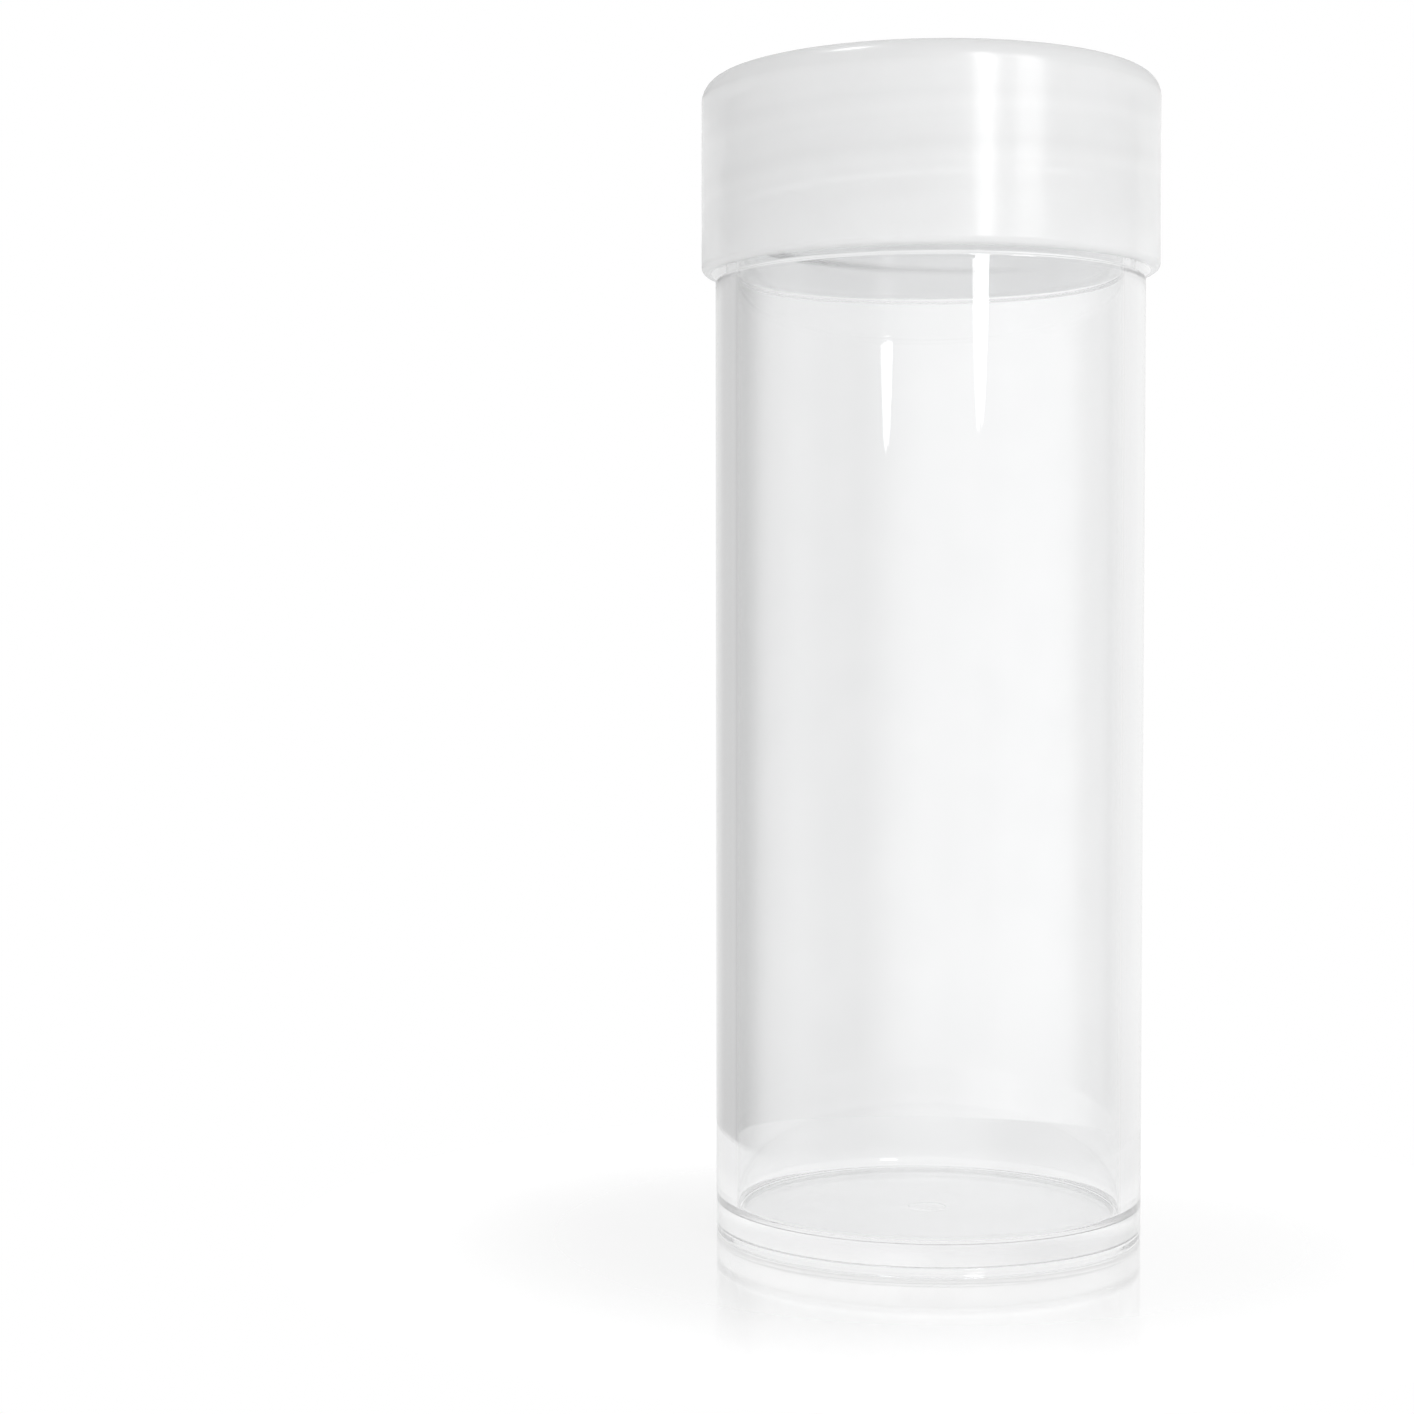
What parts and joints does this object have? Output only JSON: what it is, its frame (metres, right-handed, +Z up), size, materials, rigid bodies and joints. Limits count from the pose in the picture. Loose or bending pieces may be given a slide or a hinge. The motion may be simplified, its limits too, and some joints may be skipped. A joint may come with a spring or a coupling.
{
  "type": "coin tube",
  "caption": "Clear round plastic tube with a flat floor and a milky screw cap, for storing a stack of coins.",
  "frame": {"origin": "middle of the foot ring, on the surface that the tube stands on", "axes": "+Z up along the tube's axis, from the foot to the cap; +X and +Y are free, since both pieces are turned forms"},
  "size_m": [0.0293, 0.0292, 0.074],
  "materials": {
    "clear_styrene": "clear moulded polystyrene, polished inside and out",
    "milky_plastic": "natural, milky translucent polypropylene, satin"
  },
  "bodies": {
    "tube": {"tube": "clear_styrene"},
    "cap": {"screw_cap": "milky_plastic"}
  },
  "joints": [
    {"name": "cap_lift", "type": "slide", "parent": "tube", "child": "cap", "axis": [0, 0, 1], "range_m": [0, 0.03]}
  ]
}
